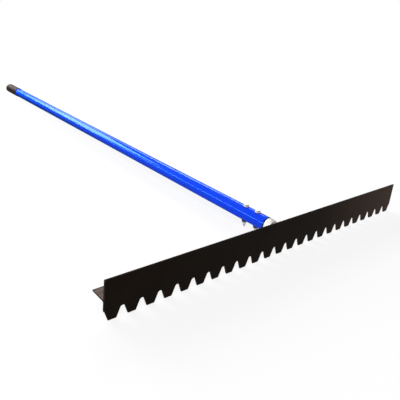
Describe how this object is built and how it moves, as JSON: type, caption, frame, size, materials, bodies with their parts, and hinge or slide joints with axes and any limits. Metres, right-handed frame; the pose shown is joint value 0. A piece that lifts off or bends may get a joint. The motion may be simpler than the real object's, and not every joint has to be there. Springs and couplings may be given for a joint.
{
  "type": "lute rake",
  "caption": "Long-handled lute rake for asphalt or gravel: a wide T-section head with teeth along one edge and a straight edge opposite, on a round tube handle with a closed grip.",
  "frame": {"origin": "bottom centre of the bounding box: the tooth tips stand at z = 0, x = 0 is the middle of the head and y = 0 is halfway along the tool", "axes": "+X runs along the head to the right, +Y runs back along the handle to the grip, +Z runs from the tooth tips to the straight edge"},
  "size_m": [0.91, 1.694, 0.079],
  "materials": {
    "black_coat": "matt black coat on a steel T-section",
    "blue_coat": "gloss blue coat on a drawn tube",
    "cast_aluminium": "cast and tumbled bright",
    "zinc_plate": "bright zinc plate",
    "black_vinyl": "dipped vinyl, satin",
    "nylon": "natural nylon"
  },
  "bodies": {
    "root": {"toothed_head": "black_coat", "handle_socket": "cast_aluminium", "handle_tube": "blue_coat", "grip_cap": "black_vinyl", "tube_front_bolt": "zinc_plate", "tube_front_upper_washer": "zinc_plate", "tube_front_lower_washer": "zinc_plate", "tube_front_lock_nut": "zinc_plate", "tube_front_lock_ring": "nylon", "tube_rear_bolt": "zinc_plate", "tube_rear_upper_washer": "zinc_plate", "tube_rear_lower_washer": "zinc_plate", "tube_rear_lock_nut": "zinc_plate", "tube_rear_lock_ring": "nylon", "foot_left_bolt": "zinc_plate", "foot_left_upper_washer": "zinc_plate", "foot_left_lower_washer": "zinc_plate", "foot_left_lock_nut": "zinc_plate", "foot_left_lock_ring": "nylon", "foot_right_bolt": "zinc_plate", "foot_right_upper_washer": "zinc_plate", "foot_right_lower_washer": "zinc_plate", "foot_right_lock_nut": "zinc_plate", "foot_right_lock_ring": "nylon"}
  },
  "joints": []
}
